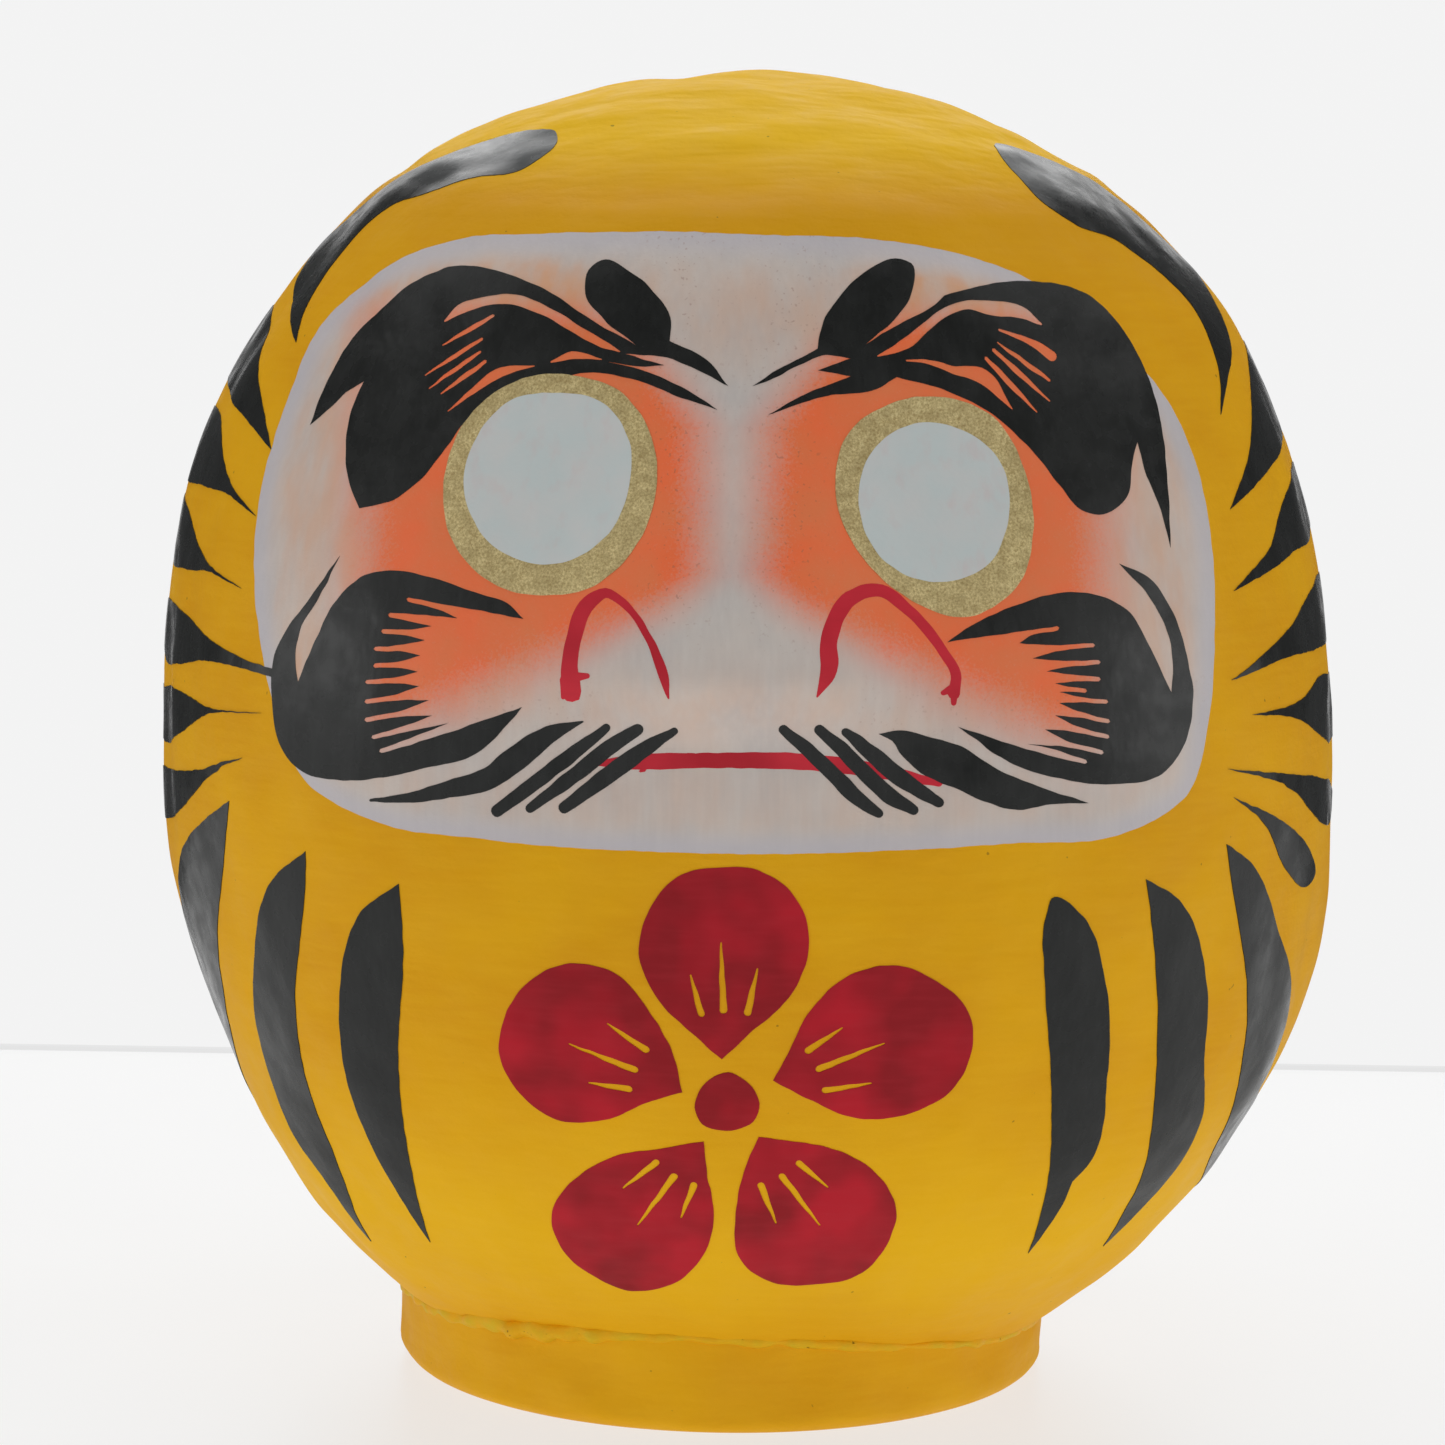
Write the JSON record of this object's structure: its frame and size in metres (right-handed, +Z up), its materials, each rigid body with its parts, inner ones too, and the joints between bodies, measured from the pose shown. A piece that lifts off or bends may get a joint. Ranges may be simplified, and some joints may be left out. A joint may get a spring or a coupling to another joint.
{
  "type": "daruma doll",
  "caption": "Round papier-mache good-luck doll on a weighted foot ring, with a brushed face, blank eyes and striped sides.",
  "frame": {"origin": "under the middle of the doll, on the surface that it stands on", "axes": "+Z up, the face looks along -Y, +X is to the right of someone facing the doll"},
  "size_m": [0.2242, 0.2104, 0.2475],
  "materials": {
    "yellow_paper": "satin",
    "strip_paper": "satin",
    "painted_clay": "satin",
    "raw_clay": "matte",
    "raw_paper": "matte",
    "painted_glue": "satin",
    "white_paint": "matte",
    "eye_paint": "satin",
    "gold_paint": "satin",
    "red_paint": "satin",
    "black_paint": "gloss"
  },
  "bodies": {
    "root": {"body_shell": "yellow_paper", "back_seam_strip": "strip_paper", "base_ring": "painted_clay", "ballast_slab": "raw_clay", "bottom_paper": "raw_paper", "glue_bead": "painted_glue"}
  },
  "joints": []
}
